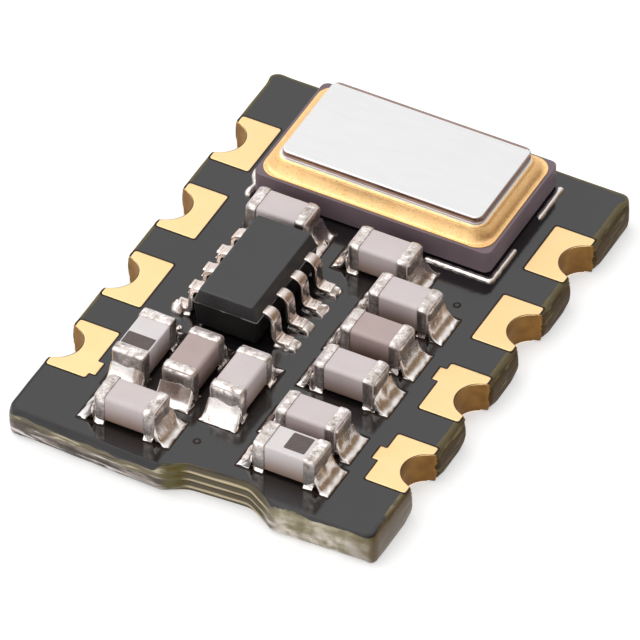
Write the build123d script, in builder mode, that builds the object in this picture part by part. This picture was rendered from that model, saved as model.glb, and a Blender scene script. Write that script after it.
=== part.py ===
from build123d import *
import os

os.makedirs("parts", exist_ok=True)

# Radio transmitter module: a small laminated circuit board with half-round
# plated edge terminals, a lidded ceramic resonator, an eight-lead integrated
# circuit and eleven chip components. Millimetres. The underside of the board
# is Z = 0, its long side runs along Y and the resonator is at the +Y end.

# Board
board_width = 9.06
board_length = 12.6
board_thickness = 0.8
board_corner = 0.22
front_setback = 0.12
recess_left = -0.66
recess_right = 2.03
recess_depth = 0.41
recess_slope = 0.11
recess_ramp_left = 0.51
recess_ramp_right = 0.78
recess_round = 0.2
edge_break = 0.1

# Edge terminals, four on each long side
terminal_pitch = 2.54
terminal_count = 4
terminal_row_y = 0.05
notch_radius = 0.57
notch_outset = 0.04
notch_lip = 0.09
plating = 0.035
land_width = 1.64
land_depth = 1.03
land_inset = 0.06
land_corner = 0.06
mask_gap = 0.03
stub_length = 0.16
stub_width = 0.44

# Where a trace leaves a land: side of the board, place in its row counted from
# the front, and how far behind the middle of the land the trace runs
trace_stubs = {
    ("right", 0): 0.07,
    ("right", 1): 0.38,
    ("left", 0): -0.43,
}

# Solder film between the board and what is soldered on it
solder_film = 0.03

# Resonator package
resonator_x = -0.08
resonator_y = 4.21
base_length = 5.92
base_width = 3.46
base_height = 0.59
base_corner = 0.18
cavity_wall = 0.62
cavity_floor = 0.22
pad_length = 5.78
pad_width = 3.34
pad_corner = 0.42
pad_height = 0.03
ring_length = 5.30
ring_width = 2.86
ring_height = 0.27
ring_wall = 0.32
ring_corner = 0.34
lid_clearance = 0.015
lid_flange = 0.05
lid_rim = 0.125
lid_rise = 0.16
lid_corner = 0.2
lid_edge_break = 0.03
die_length = 2.4
die_width = 1.1
die_height = 0.2
base_solder_length = 0.09
base_solder_height = 0.1
base_solder_under = 0.25

# Integrated circuit
ic_x = -1.325
ic_y = -0.6
ic_width = 1.6
ic_length = 2.9
ic_standoff = 0.12
ic_lower_height = 0.68
ic_upper_height = 0.35
ic_lower_inset = 0.06
ic_top_inset_x = 0.13
ic_top_inset_y = 0.07
ic_corner = 0.05

# Gull-wing leads, four on each side of the integrated circuit
lead_pitch = 0.65
lead_count = 4
lead_width = 0.31
lead_thickness = 0.14
lead_in_body = 0.25
lead_shoulder = 0.2
lead_splay = 0.05
lead_foot = 0.37
lead_bend = 0.08
toe_solder_length = 0.2
toe_solder_height = 0.12
toe_solder_width = 0.33

# Chip components
chip_length = 1.55
chip_width = 0.8
chip_height = 0.75
cap_length = 0.3
cap_wall = 0.02
cap_end = 0.05
chip_bevel = 0.05
chip_solder_length = 0.36
chip_solder_height = 0.42
chip_solder_width = 0.74

# Place of each chip on the board, and its turn about Z in degrees
chips = [
    (-1.85, 1.68, 0),
    (0.77, 1.59, 0),
    (1.87, 0.44, 0),
    (1.85, -0.87, 0),
    (1.88, -2.16, 0),
    (1.83, -3.86, 0),
    (1.91, -5.00, 0),
    (-2.585, -3.44, 90),
    (-1.375, -3.42, 90),
    (-0.158, -3.47, 90),
    (-1.893, -5.27, 0),
]

# Levels and edges that several pieces share
board_top = board_thickness
board_edge = board_width / 2
land_levels = (("bottom", 0), ("top", board_thickness - plating))
notch_centre = board_edge + notch_outset
land_centre = board_edge - land_inset - land_depth / 2
base_bottom = board_top + solder_film
base_top = base_bottom + base_height
pad_top = base_top + pad_height
ring_top = pad_top + ring_height
ic_bottom = board_top + ic_standoff
ic_parting = ic_bottom + ic_lower_height
lead_foot_z = board_top + solder_film + lead_thickness / 2

terminal_ys = [
    terminal_row_y + (i - (terminal_count - 1) / 2) * terminal_pitch
    for i in range(terminal_count)
]
lead_ys = [
    ic_y + (i - (lead_count - 1) / 2) * lead_pitch
    for i in range(lead_count)
]

# Edge terminals in the order of their numbers: side, place in the row
terminals = [(side, i) for side in ("right", "left") for i in range(terminal_count)]


def write_node(part, node):
    """Name a finished piece and write it as a file of its own."""
    part.label = node
    export_step(part, f"parts/{node}.step")


def notch_profile(radius):
    """Plan of the routed notch on the +X edge: a drilled hole that the edge
    cuts through, with its two mouth corners rounded."""
    mouth = 2 * (radius + 2 * notch_lip)
    with BuildSketch() as notch:
        with Locations((notch_centre, 0)):
            Circle(radius)
        with Locations((board_edge + radius, 0)):
            Rectangle(2 * radius, mouth)
        corners = notch.vertices().filter_by_position(Axis.X, board_edge - 0.01, board_edge + 0.01)
        corners = corners.filter_by_position(Axis.Y, -radius - notch_lip, radius + notch_lip)
        fillet(corners, notch_lip)
    return notch.sketch


def land_profile(side, i, face, margin):
    """Plan of a terminal's land on the +X edge, grown by margin all round,
    with a short stub on the top face where a trace leaves it."""
    with BuildSketch() as land:
        with Locations((land_centre, 0)):
            Rectangle(land_depth + 2 * margin, land_width + 2 * margin)
        chamfer(land.vertices(), land_corner)
        if face == "top" and (side, i) in trace_stubs:
            behind = trace_stubs[side, i] if side == "right" else -trace_stubs[side, i]
            with Locations((land_centre - land_depth / 2, behind)):
                Rectangle(2 * (stub_length + margin), stub_width + 2 * margin)
    return land.sketch


def terminal_place(side, i):
    """Place of one terminal, turned so that its +X points out of the board."""
    turn = 0 if side == "right" else 180
    return Location((0, terminal_ys[i], 0), (0, 0, turn))


def make_board():
    """Laminated board: recessed front edge, notches, and shallow pockets in
    the mask on both faces for the lands of the terminals."""
    lip = -board_length / 2
    outline = [
        (-board_edge, board_length / 2),
        (-board_edge, lip + front_setback),
        (recess_left, lip),
        (recess_left + recess_ramp_left, lip + recess_depth - recess_slope),
        (recess_right - recess_ramp_right, lip + recess_depth),
        (recess_right, lip),
        (board_edge, lip + front_setback),
        (board_edge, board_length / 2),
    ]
    with BuildPart() as board:
        with BuildSketch() as plan:
            with BuildLine():
                Polyline(*outline, close=True)
            make_face()
            outer = plan.vertices().filter_by_position(
                Axis.X, -board_edge + 0.01, board_edge - 0.01, inclusive=(False, False)
            )
            fillet(outer, recess_round)
            ends = plan.vertices().group_by(Axis.X)
            fillet(ends[0] + ends[-1], board_corner)
        extrude(amount=board_thickness)
        underside = board.faces().sort_by(Axis.Z)[0]
        front = underside.edges().filter_by_position(Axis.Y, 2 * lip, lip + recess_depth + board_corner)
        chamfer(front, edge_break)
        notch = notch_profile(notch_radius + plating)
        with BuildSketch():
            for side, i in terminals:
                with Locations(terminal_place(side, i)):
                    add(notch)
        extrude(amount=board_thickness, mode=Mode.SUBTRACT)
        for face, floor in land_levels:
            with BuildSketch(Plane.XY.offset(floor)):
                for side, i in terminals:
                    with Locations(terminal_place(side, i)):
                        add(land_profile(side, i, face, mask_gap))
                    with Locations(terminal_place(side, i) * Location((board_edge, 0))):
                        Rectangle(2 * (land_inset + mask_gap), land_width + 2 * mask_gap)
            extrude(amount=plating, mode=Mode.SUBTRACT)
    write_node(board.part, "board")


def make_terminal(number, side, i):
    """Plated edge terminal: a land on each face joined by the half-round
    wall of the plated hole that the board edge cuts through."""
    place = Plane(terminal_place(side, i))
    with BuildPart() as terminal:
        for face, level in land_levels:
            with BuildSketch(place.offset(level)):
                add(land_profile(side, i, face, 0))
                add(notch_profile(notch_radius), mode=Mode.SUBTRACT)
            extrude(amount=plating)
        with BuildSketch(place):
            add(notch_profile(notch_radius + plating))
            add(notch_profile(notch_radius), mode=Mode.SUBTRACT)
            add(land_profile(side, i, "bottom", 0), mode=Mode.INTERSECT)
        extrude(amount=board_thickness)
    write_node(terminal.part, f"edge_terminal_{number}")


def resonator_plane(height):
    """Horizontal plane centred on the resonator at one height."""
    return Plane(origin=(resonator_x, resonator_y, height))


def make_resonator_base():
    """Ceramic tub with a cavity that opens upwards under the lid."""
    with BuildPart() as base:
        with BuildSketch(resonator_plane(base_bottom)):
            RectangleRounded(base_length, base_width, base_corner)
        extrude(amount=base_height)
        with BuildSketch(resonator_plane(base_bottom + cavity_floor)):
            Rectangle(base_length - 2 * cavity_wall, base_width - 2 * cavity_wall)
        extrude(amount=base_height - cavity_floor, mode=Mode.SUBTRACT)
    write_node(base.part, "resonator_base")


def make_resonator_pad():
    """Gold layer on the rim of the tub, which the seal ring is brazed to."""
    with BuildPart() as pad:
        with BuildSketch(resonator_plane(base_top)):
            RectangleRounded(pad_length, pad_width, pad_corner)
            Rectangle(
                base_length - 2 * cavity_wall,
                base_width - 2 * cavity_wall,
                mode=Mode.SUBTRACT,
            )
        extrude(amount=pad_height)
    write_node(pad.part, "resonator_rim_plating")


def make_seal_ring():
    """Upright gold-plated frame brazed on the rim, with a broken top edge."""
    with BuildPart() as ring:
        with BuildSketch(resonator_plane(pad_top)):
            RectangleRounded(ring_length, ring_width, ring_corner)
            Rectangle(
                ring_length - 2 * ring_wall,
                ring_width - 2 * ring_wall,
                mode=Mode.SUBTRACT,
            )
        extrude(amount=ring_height)
        foot = ring.faces().sort_by(Axis.Z)[0].outer_wire().edges()
        chamfer(foot, ring_height / 5)
    write_node(ring.part, "resonator_seal_ring")


def make_lid():
    """Stepped metal lid: a thin flange seam-welded to the ring and a raised
    flat plateau with a broken edge."""
    flange_length = ring_length - 2 * lid_clearance
    flange_width = ring_width - 2 * lid_clearance
    with BuildPart() as lid:
        with BuildSketch(resonator_plane(ring_top)):
            RectangleRounded(flange_length, flange_width, ring_corner - lid_clearance)
        extrude(amount=lid_flange)
        with BuildSketch(resonator_plane(ring_top + lid_flange)):
            RectangleRounded(
                flange_length - 2 * lid_rim,
                flange_width - 2 * lid_rim,
                lid_corner,
            )
        extrude(amount=lid_rise)
        chamfer(lid.faces().sort_by(Axis.Z)[-1].edges(), lid_edge_break)
    write_node(lid.part, "resonator_lid")


def make_die():
    """Resonator plate that lies on the floor of the cavity."""
    with BuildPart() as die:
        with BuildSketch(resonator_plane(base_bottom + cavity_floor)):
            Rectangle(die_length, die_width)
        extrude(amount=die_height)
    write_node(die.part, "resonator_plate")


def foot_profile(reach, rise, under):
    """Section of a solder joint at the foot of a wall: a film under the piece
    and a hollow fillet that climbs its wall. +X points away from the wall."""
    with BuildSketch() as section:
        with BuildLine():
            Polyline((0, rise), (0, solder_film), (-under, solder_film), (-under, 0), (reach, 0))
            RadiusArc((reach, 0), (0, rise), 2 * max(reach, rise))
        make_face()
    return section.sketch


def make_resonator_solder():
    """Solder joints round the foot of the tub. Each runs along one side:
    outward direction, middle of the joint along that side, and its length."""
    half_x = base_length / 2
    half_y = base_width / 2
    strip = base_length / 4
    short_strip = base_width / 5
    joints = [
        ((0, -1), half_x - base_corner - strip / 2, strip),
        ((0, -1), -half_x + base_corner + short_strip / 2, short_strip),
        ((0, 1), half_x - base_corner - strip / 2, strip),
        ((0, 1), -half_x + base_corner + strip / 2, strip),
        ((1, 0), -half_y + 2 * base_corner + short_strip / 2, short_strip),
        ((1, 0), half_y - base_corner - short_strip, 2 * short_strip),
        ((-1, 0), -half_y + 2 * base_corner + short_strip / 2, short_strip),
        ((-1, 0), half_y - base_corner - short_strip, 2 * short_strip),
    ]
    with BuildPart() as solder:
        for (out_x, out_y), middle, length in joints:
            wall = (
                resonator_x + out_x * half_x + abs(out_y) * middle,
                resonator_y + out_y * half_y + abs(out_x) * middle,
                board_top,
            )
            across = Vector(out_x, out_y, 0).cross(Vector(0, 0, 1))
            section = Plane(origin=wall, x_dir=(out_x, out_y, 0), z_dir=across)
            with BuildSketch(section):
                add(foot_profile(base_solder_length, base_solder_height, base_solder_under))
            extrude(amount=length / 2, both=True)
    write_node(solder.part, "resonator_solder")


def make_ic_body():
    """Moulded body of the integrated circuit: drafted below the parting line,
    bevelled above it, with a slot for the root of every lead."""
    with BuildPart() as body:
        with BuildSketch(Plane(origin=(ic_x, ic_y, ic_bottom))):
            RectangleRounded(ic_width - 2 * ic_lower_inset, ic_length - 2 * ic_lower_inset, ic_corner)
        with BuildSketch(Plane(origin=(ic_x, ic_y, ic_parting))):
            RectangleRounded(ic_width, ic_length, ic_corner)
        loft()
        with BuildSketch(Plane(origin=(ic_x, ic_y, ic_parting))):
            RectangleRounded(ic_width, ic_length, ic_corner)
        with BuildSketch(Plane(origin=(ic_x, ic_y, ic_parting + ic_upper_height))):
            RectangleRounded(ic_width - 2 * ic_top_inset_x, ic_length - 2 * ic_top_inset_y, ic_corner)
        loft()
        for lead_y in lead_ys:
            for side in (-1, 1):
                slot = (ic_x + side * ic_width / 2, lead_y, ic_parting)
                with Locations(slot):
                    Box(2 * lead_in_body, lead_width, lead_thickness, mode=Mode.SUBTRACT)
    write_node(body.part, "ic_body")


def make_lead(number, side, lead_y):
    """Gull-wing lead: it leaves the body level, bends down and ends in a
    level foot on the board."""
    root = ic_width / 2 - lead_in_body
    knee = ic_width / 2 + lead_shoulder
    heel = knee + lead_splay
    toe = heel + lead_foot
    section_plane = Plane(origin=(ic_x, lead_y, 0), x_dir=(side, 0, 0), z_dir=(0, -side, 0))
    half_t = lead_thickness / 2
    with BuildPart() as lead:
        with BuildSketch(section_plane):
            with BuildLine():
                upper = FilletPolyline(
                    (root, ic_parting + half_t),
                    (knee + half_t, ic_parting + half_t),
                    (heel + half_t, lead_foot_z + half_t),
                    (toe, lead_foot_z + half_t),
                    radius=[lead_bend + lead_thickness, lead_bend],
                )
                lower = FilletPolyline(
                    (root, ic_parting - half_t),
                    (knee - half_t, ic_parting - half_t),
                    (heel - half_t, lead_foot_z - half_t),
                    (toe, lead_foot_z - half_t),
                    radius=[lead_bend, lead_bend + lead_thickness],
                )
                Line(upper @ 0, lower @ 0)
                Line(upper @ 1, lower @ 1)
            make_face()
        extrude(amount=lead_width / 2, both=True)
    write_node(lead.part, f"ic_lead_{number}")


def make_ic_solder():
    """Solder joints under the feet of the leads, with a fillet at each toe."""
    toe = ic_width / 2 + lead_shoulder + lead_splay + lead_foot
    with BuildPart() as solder:
        for lead_y in lead_ys:
            for side in (-1, 1):
                wall = (ic_x + side * toe, lead_y, board_top)
                section = Plane(origin=wall, x_dir=(side, 0, 0), z_dir=(0, -side, 0))
                with BuildSketch(section):
                    add(foot_profile(toe_solder_length, toe_solder_height, lead_foot))
                extrude(amount=toe_solder_width / 2, both=True)
    write_node(solder.part, "ic_solder")


def chip_plane(x, y, turn, height):
    """Plane on the middle of a chip at one height, with +X along the chip."""
    return Plane(origin=(x, y, height)).rotated((0, 0, turn))


def make_chip(number, x, y, turn):
    """Chip component: a ceramic block, a metal cap folded over each end and
    the two solder joints that hold it."""
    bottom = board_top + solder_film
    middle = chip_plane(x, y, turn, bottom + chip_height / 2)
    core_length = chip_length - 2 * cap_end
    core_width = chip_width - 2 * cap_wall
    core_height = chip_height - 2 * cap_wall

    with BuildPart() as core:
        with BuildSketch(middle.offset(-core_height / 2)):
            Rectangle(core_length, core_width)
        extrude(amount=core_height)
        chamfer(core.edges().filter_by(Axis(middle.origin, middle.x_dir)), chip_bevel - cap_wall / 2)
    write_node(core.part, f"chip_{number}_body")

    with BuildPart() as caps:
        with BuildSketch(middle.offset(-chip_height / 2)):
            Rectangle(chip_length, chip_width)
        extrude(amount=chip_height)
        chamfer(caps.edges(), chip_bevel)
        with BuildSketch(middle.offset(-chip_height / 2)):
            Rectangle(chip_length - 2 * cap_length, chip_width)
        extrude(amount=chip_height, mode=Mode.SUBTRACT)
        add(core.part, mode=Mode.SUBTRACT)
    write_node(caps.part, f"chip_{number}_end_caps")

    with BuildPart() as joints:
        for side in (-1, 1):
            along = Vector(middle.x_dir) * side
            wall = Vector(x, y, board_top) + along * (chip_length / 2)
            section = Plane(origin=wall, x_dir=along, z_dir=along.cross(Vector(0, 0, 1)))
            with BuildSketch(section):
                add(foot_profile(chip_solder_length, chip_solder_height, cap_length))
            extrude(amount=chip_solder_width / 2, both=True)
    write_node(joints.part, f"chip_{number}_solder")


make_board()
for number, (side, i) in enumerate(terminals, 1):
    make_terminal(number, side, i)
make_resonator_base()
make_resonator_pad()
make_seal_ring()
make_lid()
make_die()
make_resonator_solder()
make_ic_body()
lead_places = [(side, lead_y) for side in (-1, 1) for lead_y in lead_ys]
for number, (side, lead_y) in enumerate(lead_places, 1):
    make_lead(number, side, lead_y)
make_ic_solder()
for number, (x, y, turn) in enumerate(chips, 1):
    make_chip(number, x, y, turn)
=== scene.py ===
import math

import bpy
import numpy as np
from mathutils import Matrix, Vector


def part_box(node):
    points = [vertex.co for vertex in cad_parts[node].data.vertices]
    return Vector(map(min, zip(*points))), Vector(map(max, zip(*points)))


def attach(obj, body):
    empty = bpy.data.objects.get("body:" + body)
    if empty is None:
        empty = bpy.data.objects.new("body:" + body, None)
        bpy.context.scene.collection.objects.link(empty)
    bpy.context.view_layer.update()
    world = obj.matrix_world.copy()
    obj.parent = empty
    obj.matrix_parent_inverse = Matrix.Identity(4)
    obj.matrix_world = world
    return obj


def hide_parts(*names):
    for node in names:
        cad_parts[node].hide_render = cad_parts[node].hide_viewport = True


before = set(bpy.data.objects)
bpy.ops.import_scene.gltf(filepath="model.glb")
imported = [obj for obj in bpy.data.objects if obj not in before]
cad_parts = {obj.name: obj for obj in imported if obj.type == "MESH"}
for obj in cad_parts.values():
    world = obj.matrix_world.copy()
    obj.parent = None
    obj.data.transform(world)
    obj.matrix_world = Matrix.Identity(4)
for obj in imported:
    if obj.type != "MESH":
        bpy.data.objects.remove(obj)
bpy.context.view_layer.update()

# Camera, studio and floor. The module is seen from its front right, from about
# 43 degrees above the table, through a long lens that keeps its sides almost
# parallel. A soft key light stands behind it on the left, over a white sweep.
MM = 0.001
camera_target = Vector((-0.157, 0.238, 0)) * MM
camera_azimuth = math.radians(27.742)
camera_elevation = math.radians(42.817)
camera_distance = 236.158 * MM
camera_lens = 598.65
floor_size = 2.0
floor_drop = 0.02 * MM
floor_lift = 0.45
sky_level = 0.64
room_level = 0.32


def toward(azimuth, elevation):
    """Unit vector from the module to a place seen at this azimuth and elevation."""
    level = math.cos(elevation)
    return Vector((math.sin(azimuth) * level, -math.cos(azimuth) * level, math.sin(elevation)))


def link(piece):
    """Put an object into the scene."""
    bpy.context.scene.collection.objects.link(piece)
    return piece


def soft_light(name, azimuth, elevation, distance, size, power):
    """Square soft box in metres and watts, turned towards the module."""
    lamp = bpy.data.lights.new(name, "AREA")
    lamp.size = size
    lamp.energy = power
    direction = toward(math.radians(azimuth), math.radians(elevation))
    box = link(bpy.data.objects.new(name, lamp))
    box.location = direction * distance
    box.rotation_euler = direction.to_track_quat("Z", "Y").to_euler()


def linear(code):
    """An sRGB hex colour as the linear RGBA that a shader socket takes."""
    channel = np.array([int(code[i:i + 2], 16) for i in (0, 2, 4)]) / 255
    curve = np.where(channel <= 0.04045, channel / 12.92, ((channel + 0.055) / 1.055) ** 2.4)
    return (*curve.tolist(), 1.0)


def add(tree, kind, inputs=None, output=None, **settings):
    """Add one shader node with its settings. An input takes a value, a hex colour or the output of
    another node. Back comes the output of the given name, or else the first that is in use."""
    node = tree.nodes.new("ShaderNode" + kind)
    for name, value in settings.items():
        setattr(node, name, value)
    for socket, source in (inputs or {}).items():
        if isinstance(source, bpy.types.NodeSocket):
            tree.links.new(source, node.inputs[socket])
        else:
            node.inputs[socket].default_value = linear(source) if isinstance(source, str) else source
    if output:
        return node.outputs[output]
    return next((socket for socket in node.outputs if socket.enabled), None)


def start_material(name):
    """A new material without nodes, and its node tree."""
    material = bpy.data.materials.new(name)
    material.use_nodes = True
    material.node_tree.nodes.clear()
    return material, material.node_tree


lens = bpy.data.cameras.new("camera")
lens.lens = camera_lens
lens.clip_start = 10 * MM
lens.clip_end = floor_size
camera = link(bpy.data.objects.new("camera", lens))
view_from = toward(camera_azimuth, camera_elevation)
camera.location = camera_target + view_from * camera_distance
camera.rotation_euler = view_from.to_track_quat("Z", "Y").to_euler()
bpy.context.scene.camera = camera
bpy.context.scene.view_settings.view_transform = "Standard"

soft_light("key_light", azimuth=-105, elevation=62, distance=0.35, size=0.28, power=0.37)
soft_light("fill_light", azimuth=-30, elevation=30, distance=0.4, size=0.4, power=0.3)

# The sky is white where it is seen, and dimmer as a lamp. In mirrored light it is
# white behind, above and to the left of the module, and falls off to a dim warm room
# on its right
sky = bpy.data.worlds.new("white_studio")
bpy.context.scene.world = sky
sky.use_nodes = True
tree = sky.node_tree
tree.nodes.clear()
camera_ray = add(tree, "LightPath", output="Is Camera Ray")
mirror_ray = add(tree, "LightPath", output="Is Glossy Ray")
clear_ray = add(tree, "LightPath", output="Is Transmission Ray")
seen = add(tree, "Math", {0: camera_ray, 1: mirror_ray}, operation="MAXIMUM")
seen = add(tree, "Math", {0: seen, 1: clear_ray}, operation="MAXIMUM")
sight = add(tree, "TexCoord", output="Generated")
room_side = toward(math.radians(95), math.radians(-12))
facing = add(tree, "VectorMath", {0: sight, 1: room_side}, operation="DOT_PRODUCT")
room = add(tree, "MapRange", {"Value": facing, "From Min": -0.15, "From Max": 0.75, "To Min": 1.0,
                              "To Max": room_level}, interpolation_type="SMOOTHSTEP")
mirrored = add(tree, "Mix", {0: camera_ray, 2: room, 3: 1.0})
level = add(tree, "Mix", {0: seen, 2: sky_level, 3: mirrored})
tint = add(tree, "MapRange", {"Value": level, "From Min": room_level, "From Max": 0.8})
warmth = add(tree, "Mix", {0: tint, 6: "E3BF97", 7: "FFFFFF"}, data_type="RGBA")
warmth = add(tree, "Mix", {0: mirror_ray, 6: "FFFFFF", 7: warmth}, data_type="RGBA")
add(tree, "OutputWorld", {"Surface": add(tree, "Background", {"Color": warmth, "Strength": level})})

# White table top: matt paint that takes the shadow, lifted to white where seen
floor_paint, tree = start_material("matt_white_sweep")
camera_ray = add(tree, "LightPath", output="Is Camera Ray")
mirror_ray = add(tree, "LightPath", output="Is Glossy Ray")
seen = add(tree, "Math", {0: camera_ray, 1: mirror_ray}, operation="MAXIMUM")
lift = add(tree, "MapRange", {"Value": seen, "To Min": 0.0, "To Max": floor_lift})
paint = add(tree, "BsdfPrincipled", {"Base Color": "E6E6E6", "Roughness": 1.0, "Emission Color": "FFFFFF",
                                     "Emission Strength": lift})
add(tree, "OutputMaterial", {"Surface": paint})
half = floor_size / 2
floor_mesh = bpy.data.meshes.new("floor")
floor_mesh.from_pydata([(-half, -half, -floor_drop), (half, -half, -floor_drop),
                        (half, half, -floor_drop), (-half, half, -floor_drop)], [], [(0, 1, 2, 3)])
floor_mesh.materials.append(floor_paint)
link(bpy.data.objects.new("floor", floor_mesh))

# Edges of the board. Glass yarns and clear resin, cut by a router on the long
# sides and snapped at the front tab, where the plies stand out as ridges. Each
# stretch between two notches is a band carried along the outline of the board.


def box_mm(node):
    """Lowest and highest corner of a solid in mm."""
    return tuple(np.array(corner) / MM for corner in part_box(node))


board_low, board_high = box_mm("board")
board_top = board_high[2]
edge_x = board_high[0]
corner_round = 0.22
front_setback = 0.12
recess_left, recess_right = -0.66, 2.07
recess_depth, recess_slope = 0.41, 0.11
ramp_left, ramp_right = 0.51, 0.74
recess_round = 0.35
ramp_softening, softened_from, softened_to = 0.16, 0.5, 0.9
notch_radius = 0.57
notch_outset = 0.04
notch_lip = 0.09
plating = 0.035
ply_pitch = 0.215
ply_phase = 0.32
skin_depth = 0.25
skin_tuck = 0.05
edge_spacing = 0.03
edge_rows = 41
mask_thickness = 0.004
edge_top = board_top - mask_thickness
edge_break, break_slope = 0.1, 0.8
# How far the edge lies in at the top and the foot, the top's share of it at the lips and the foot's
# between them, and the shares that are lost on the left, at the back and where it is torn
top_fall, top_drop = 0.15, 0.38
foot_fall, foot_rise = 0.17, 0.36
lip_share, foot_share = 0.7, 0.4
lip_run, foot_run = 0.2, 0.4
left_loss, back_loss, torn_loss = 0.45, 0.8, 0.55
left_from, left_to = edge_x - 0.5, edge_x - 0.2
back_from, back_to = board_high[1] - 0.4, board_high[1] - 0.1
torn_from, torn_to = 0.03, 0.3
# How far it stands out: the belly, the ply ridges and the torn fibres, and how long their waves are
belly, routed_belly, waviness, belly_wave = 0.008, 0.022, 0.005, 1.2
ridge_height, recess_ridge_height, recess_hollow, recess_run = 0.004, 0.028, 0.02, (0.5, 0.4)
ply_waviness, ply_wave = 0.05, 2.5
fibre_height, fibre_wave = 0.01, 0.8
ragged_lip, ragged_wave = 0.01, 0.7
notch_x = edge_x + notch_outset
terminal_names = [f"edge_terminal_{k}" for k in range(1, 9)]
terminal_ys = sorted({round(float(low[1] + high[1]) / 2, 4) for low, high in map(box_mm, terminal_names)})


def unit(vector):
    """Vectors scaled to length 1 along their last axis."""
    return vector / np.linalg.norm(vector, axis=-1, keepdims=True)


def arc(centre, start, end, steps):
    """Points of the arc round centre from start to end: the sine-weighted mean of the two radii."""
    from_start, from_end = np.array(start) - centre, np.array(end) - centre
    turn = math.acos(float(unit(from_start) @ unit(from_end)))
    share = np.linspace(0, 1, steps + 1)[:, None]
    swept = np.sin((1 - share) * turn) * from_start + np.sin(share * turn) * from_end
    return centre + swept / math.sin(turn)


def rounded(corners, radii, steps=8):
    """Outline through the corners in turn, each replaced by an arc that touches both its sides."""
    corners = np.array(corners, float)
    runs = []
    for before, corner, after, radius in zip(np.roll(corners, 1, 0), corners, np.roll(corners, -1, 0),
                                             np.broadcast_to(radii, len(corners))):
        if radius == 0:
            runs.append(corner[None])
            continue
        back_way, on_way = unit(before - corner), unit(after - corner)
        half_angle = math.acos(float(back_way @ on_way)) / 2
        reach = radius / math.tan(half_angle)
        centre = corner + unit(back_way + on_way) * radius / math.sin(half_angle)
        runs.append(arc(centre, corner + back_way * reach, corner + on_way * reach, steps))
    return np.concatenate(runs)


def run_length(path):
    """Length of a path up to each of its points."""
    return np.concatenate([[0], np.cumsum(np.linalg.norm(np.diff(path, axis=0), axis=1))])


def resample(path, spacing, closed=False):
    """Points at even distances of about spacing along a path."""
    path = np.vstack([path, path[:1]]) if closed else path
    length = run_length(path)
    count = max(3, int(round(length[-1] / spacing)))
    stops = np.linspace(0, length[-1], count + 1)[:count if closed else count + 1]
    return np.column_stack([np.interp(stops, length, path[:, k]) for k in range(path.shape[1])])


def ease(value, low, high):
    """Smooth step from 0 at low to 1 at high."""
    share = np.clip((value - low) / (high - low), 0, 1)
    return share * share * (3 - 2 * share)


def ripple(points, size, seed):
    """Smooth unevenness between about -1 and 1: the mean of nine sine waves of roughly
    size mm, in directions and with phases drawn from the seed."""
    draw = np.random.default_rng(seed)
    ways = unit(draw.normal(size=(9, points.shape[-1]))) / (size * draw.uniform(0.6, 1.6, (9, 1)))
    return 1.6 * np.sin(2 * math.pi * (points @ ways.T) + draw.uniform(0, 2 * math.pi, 9)).mean(axis=-1)


def lifted(plan, height):
    """Points in plan carried up to one height, or each to its own."""
    return np.concatenate([plan, np.broadcast_to(height, plan.shape[:-1])[..., None]], axis=-1)


def grid_faces(rows, columns, wrap=False):
    """Quads of a grid of points in rows. With wrap, the last column joins the first."""
    here = np.arange(rows * columns).reshape(rows, columns)
    there = np.roll(here, -1, axis=1)
    last = columns if wrap else columns - 1
    quads = np.stack([here[:-1, :last], there[:-1, :last], there[1:, :last], here[1:, :last]], axis=-1)
    return quads.reshape(-1, 4)


def tube_faces(rows, columns):
    """Faces of a closed tube of rings: its wall, its first end and its last."""
    ring = np.arange(columns)
    return [grid_faces(rows, columns, wrap=True), ring[::-1][None], (ring + (rows - 1) * columns)[None]]


def flipped(faces):
    """The same faces turned to the other side."""
    return [block[:, ::-1] for block in faces]


def make_piece(name, shells, material, replaced=(), sharp=35, edge_map=None):
    """Join shells of (points in mm, face arrays) into one smooth mesh that rides on the board,
    with sharp edges where faces meet at more than sharp degrees."""
    points = np.concatenate([shell[0] for shell in shells])
    starts = np.cumsum([0] + [len(shell[0]) for shell in shells])
    faces = [face for shell, start in zip(shells, starts) for block in shell[1]
             for face in (block + start).tolist()]
    mesh = bpy.data.meshes.new(name)
    mesh.from_pydata((points * MM).tolist(), [], faces)
    mesh.polygons.foreach_set("use_smooth", np.ones(len(mesh.polygons), bool))
    mesh.set_sharp_from_angle(angle=math.radians(sharp))
    if edge_map is not None:
        corner_points = np.empty(len(mesh.loops), np.int32)
        mesh.loops.foreach_get("vertex_index", corner_points)
        corners = mesh.uv_layers.new(name="edge_map").data
        corners.foreach_set("uv", edge_map[corner_points].astype(np.float32).ravel())
    mesh.materials.append(material)
    piece = link(bpy.data.objects.new(name, mesh))
    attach(piece, "root")
    if replaced:
        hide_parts(*replaced)
    return piece


def place(tree):
    """The point of the surface in object coordinates, in mm."""
    return add(tree, "Mapping", {"Vector": add(tree, "TexCoord", output="Object"), "Scale": (1 / MM,) * 3})


def clouds(tree, point, size, detail=3.0, stretch=(1, 1, 1), **inputs):
    """Cloudy noise with features of about size mm, drawn out along the axes by stretch."""
    scale = tuple(1 / (size * factor) for factor in stretch)
    spread = add(tree, "Mapping", {"Vector": point, "Scale": scale})
    return add(tree, "TexNoise", {"Vector": spread, "Scale": 1.0, "Detail": detail, **inputs})


def layer(tree, under, over, value, low, high, most=1.0, **settings):
    """One colour over another: none of it where the value is low, and most of it where it is high."""
    share = add(tree, "MapRange", {"Value": value, "From Min": low, "From Max": high, "To Max": most},
                interpolation_type="SMOOTHSTEP")
    return add(tree, "Mix", {0: share, 6: under, 7: over}, data_type="RGBA", **settings)


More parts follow.
